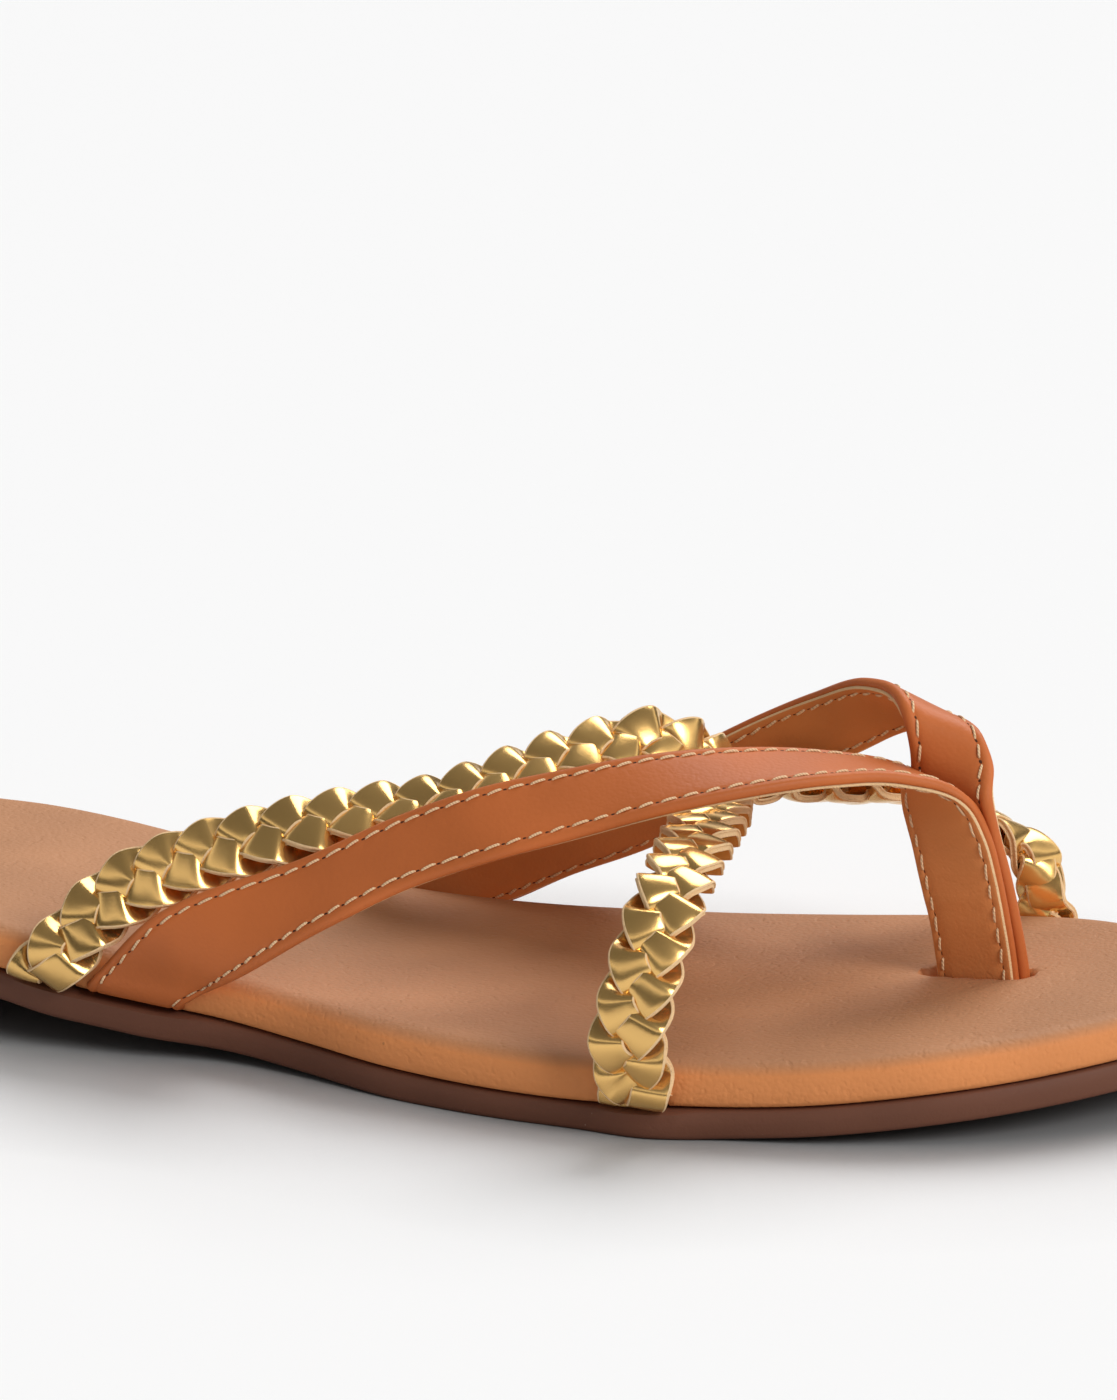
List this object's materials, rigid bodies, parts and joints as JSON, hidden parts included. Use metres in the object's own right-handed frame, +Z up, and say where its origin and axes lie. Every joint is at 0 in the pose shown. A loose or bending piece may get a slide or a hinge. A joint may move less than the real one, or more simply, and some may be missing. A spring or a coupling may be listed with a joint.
{
  "type": "flat toe-post sandal",
  "caption": "Right flat sandal with a tan toe-post strap, crossing braided straps, a padded footbed and a low rubber outsole.",
  "frame": {"origin": "centre of the object's bounding box in plan, on the floor plane that the sole stands on", "axes": "+X points to the toes, +Y to the inner side of the foot, +Z up"},
  "size_m": [0.245, 0.0932, 0.0554],
  "materials": {
    "outsole_rubber": "smooth moulded brown rubber",
    "footbed_cover": "fine-grained camel cover with a soft rounded edge",
    "tan_leather": "smooth tan strap, two stitch rows, satin",
    "gold_braid": "three-strand plait of gold foil-coated strips, glossy"
  },
  "bodies": {
    "root": {"outsole": "outsole_rubber", "footbed": "footbed_cover", "thong_straps": "tan_leather", "braided_straps": "gold_braid"}
  },
  "joints": []
}
